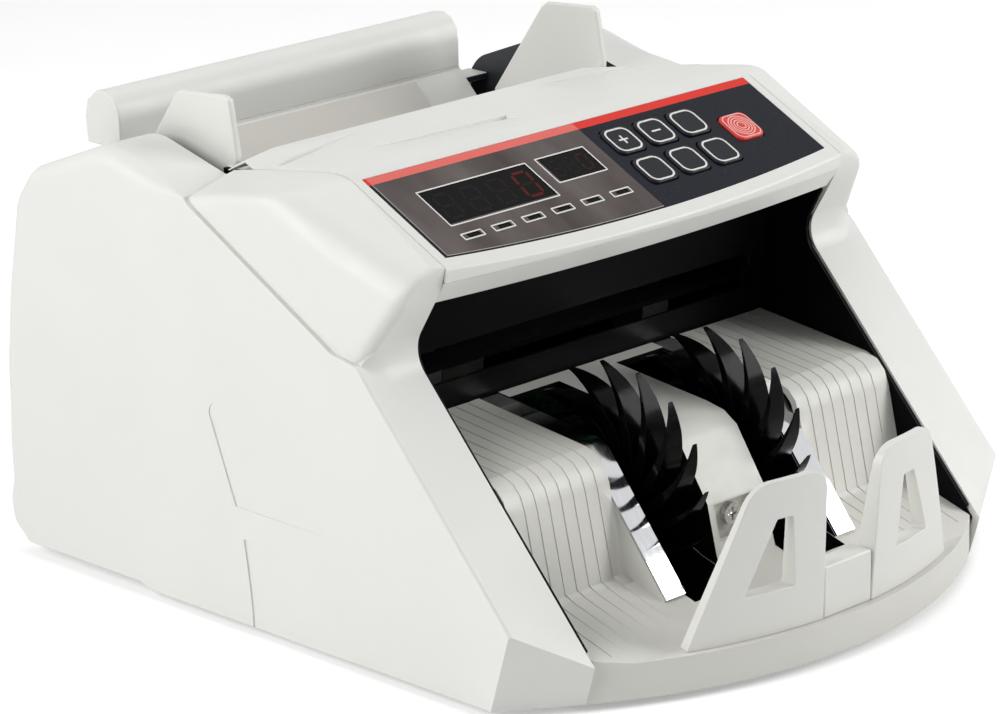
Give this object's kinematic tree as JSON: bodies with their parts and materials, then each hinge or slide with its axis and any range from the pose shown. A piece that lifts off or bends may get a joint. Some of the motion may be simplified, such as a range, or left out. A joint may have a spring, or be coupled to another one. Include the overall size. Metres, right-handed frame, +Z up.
{
  "type": "banknote counter",
  "caption": "Desktop banknote counter with a rear feed hopper, sliding note guides, tilted display panel with keys, and stacker wheels over a bowed tray with A-shaped front stops.",
  "frame": {"origin": "middle of the footprint on the table, at the underside of the feet", "axes": "+X to the right seen from the front, front towards -Y, +Z up"},
  "size_m": [0.2604, 0.2996, 0.1814],
  "materials": {
    "case_plastic": "fine satin moulding",
    "tray_plastic": "fine satin moulding",
    "white_plastic": "satin",
    "black_plastic": "satin black",
    "wheel_black": "glossy black",
    "red_key": "satin red",
    "overlay_film": "printed film",
    "smoked_lens": "smoked",
    "circuit_board": "solder mask",
    "sheet_steel": "zinc plated",
    "polished_steel": "polished",
    "steel": "turned",
    "grey_rubber": "matt",
    "label_film": "clear film"
  },
  "bodies": {
    "case": {"base_plate": "sheet_steel", "rubber_feet": "grey_rubber", "left_side_cover": "case_plastic", "right_side_cover": "case_plastic", "rear_cover": "case_plastic", "rear_screws": "steel", "top_cover": "case_plastic", "cavity_lip": "case_plastic", "panel_overlay": "overlay_film", "display_board": "circuit_board", "count_display": "smoked_lens", "preset_display": "smoked_lens", "indicator_lights": "smoked_lens", "stacker_liner": "black_plastic", "stacker_tray": "tray_plastic", "post_screw": "steel", "left_guide_strip": "polished_steel", "right_guide_strip": "polished_steel", "left_front_stop": "white_plastic", "right_front_stop": "white_plastic", "stop_block": "white_plastic", "left_shaft_bracket": "sheet_steel", "right_shaft_bracket": "sheet_steel", "left_frame": "sheet_steel", "right_frame": "sheet_steel", "feed_table": "sheet_steel", "hopper_front": "case_plastic", "separator": "grey_rubber", "hopper_plate": "case_plastic", "guide_label": "label_film", "guide_rail": "steel", "drive_motor": "sheet_steel", "main_belt": "grey_rubber", "stacker_belt": "grey_rubber", "feed_belt": "grey_rubber", "pickup_belt": "grey_rubber", "main_board": "circuit_board", "power_inlet": "black_plastic", "switch_frame": "black_plastic"},
    "key_plus_cap": {"key_plus": "black_plastic"},
    "key_minus_cap": {"key_minus": "black_plastic"},
    "key_upper_cap": {"key_upper": "black_plastic"},
    "key_lower_left_cap": {"key_lower_left": "black_plastic"},
    "key_lower_mid_cap": {"key_lower_mid": "black_plastic"},
    "key_lower_right_cap": {"key_lower_right": "black_plastic"},
    "key_restart_cap": {"key_restart": "red_key"},
    "stacker": {"stacker_shaft": "steel", "left_stacker_wheel": "wheel_black", "right_stacker_wheel": "wheel_black"},
    "motor_rotor": {"motor_pulley": "steel"},
    "delivery": {"delivery_shaft": "steel", "delivery_rollers": "grey_rubber"},
    "feed": {"feed_shaft": "steel", "feed_rollers": "grey_rubber"},
    "pickup": {"pickup_shaft": "steel", "pickup_rollers": "grey_rubber"},
    "left_guide": {"left_note_guide": "white_plastic"},
    "right_guide": {"right_note_guide": "white_plastic"},
    "rocker": {"power_rocker": "black_plastic"}
  },
  "joints": [
    {"name": "key_plus_press", "type": "slide", "parent": "case", "child": "key_plus_cap", "axis": [0, 0.4446, -0.8957], "range_m": [0, 0.0006], "stiffness_N_per_m": 600},
    {"name": "key_minus_press", "type": "slide", "parent": "case", "child": "key_minus_cap", "axis": [0, 0.4446, -0.8957], "range_m": [0, 0.0006], "stiffness_N_per_m": 600},
    {"name": "key_upper_press", "type": "slide", "parent": "case", "child": "key_upper_cap", "axis": [0, 0.4446, -0.8957], "range_m": [0, 0.0006], "stiffness_N_per_m": 600},
    {"name": "key_lower_left_press", "type": "slide", "parent": "case", "child": "key_lower_left_cap", "axis": [0, 0.4446, -0.8957], "range_m": [0, 0.0006], "stiffness_N_per_m": 600},
    {"name": "key_lower_mid_press", "type": "slide", "parent": "case", "child": "key_lower_mid_cap", "axis": [0, 0.4446, -0.8957], "range_m": [0, 0.0006], "stiffness_N_per_m": 600},
    {"name": "key_lower_right_press", "type": "slide", "parent": "case", "child": "key_lower_right_cap", "axis": [0, 0.4446, -0.8957], "range_m": [0, 0.0006], "stiffness_N_per_m": 600},
    {"name": "key_restart_press", "type": "slide", "parent": "case", "child": "key_restart_cap", "axis": [0, 0.4446, -0.8957], "range_m": [0, 0.0006], "stiffness_N_per_m": 600},
    {"name": "stacker_spin", "type": "hinge", "parent": "case", "child": "stacker", "pos_m": [0, -0.062, 0.0498], "axis": [1, 0, 0], "continuous": true},
    {"name": "motor_spin", "type": "hinge", "parent": "case", "child": "motor_rotor", "pos_m": [0, 0.07, 0.038], "axis": [1, 0, 0], "continuous": true},
    {"name": "delivery_spin", "type": "hinge", "parent": "case", "child": "delivery", "pos_m": [0, 0.008, 0.0826], "axis": [1, 0, 0], "continuous": true},
    {"name": "feed_spin", "type": "hinge", "parent": "case", "child": "feed", "pos_m": [0, 0.052, 0.092], "axis": [1, 0, 0], "continuous": true},
    {"name": "pickup_spin", "type": "hinge", "parent": "case", "child": "pickup", "pos_m": [0, 0.078, 0.096], "axis": [1, 0, 0], "continuous": true},
    {"name": "left_guide_slide", "type": "slide", "parent": "case", "child": "left_guide", "axis": [1, 0, 0], "range_m": [0, 0.045]},
    {"name": "right_guide_slide", "type": "slide", "parent": "case", "child": "right_guide", "axis": [-1, 0, 0], "range_m": [0, 0.045]},
    {"name": "power_rocker_tilt", "type": "hinge", "parent": "case", "child": "rocker", "pos_m": [0.015, 0.142, 0.057], "axis": [1, 0, 0], "range_deg": [-7, 7]}
  ],
  "couplings": [
    {"joint": "motor_spin", "follows": "stacker_spin", "ratio": 2},
    {"joint": "delivery_spin", "follows": "stacker_spin", "ratio": 1.4545},
    {"joint": "feed_spin", "follows": "stacker_spin", "ratio": 1.4545},
    {"joint": "pickup_spin", "follows": "stacker_spin", "ratio": 1.4545}
  ]
}
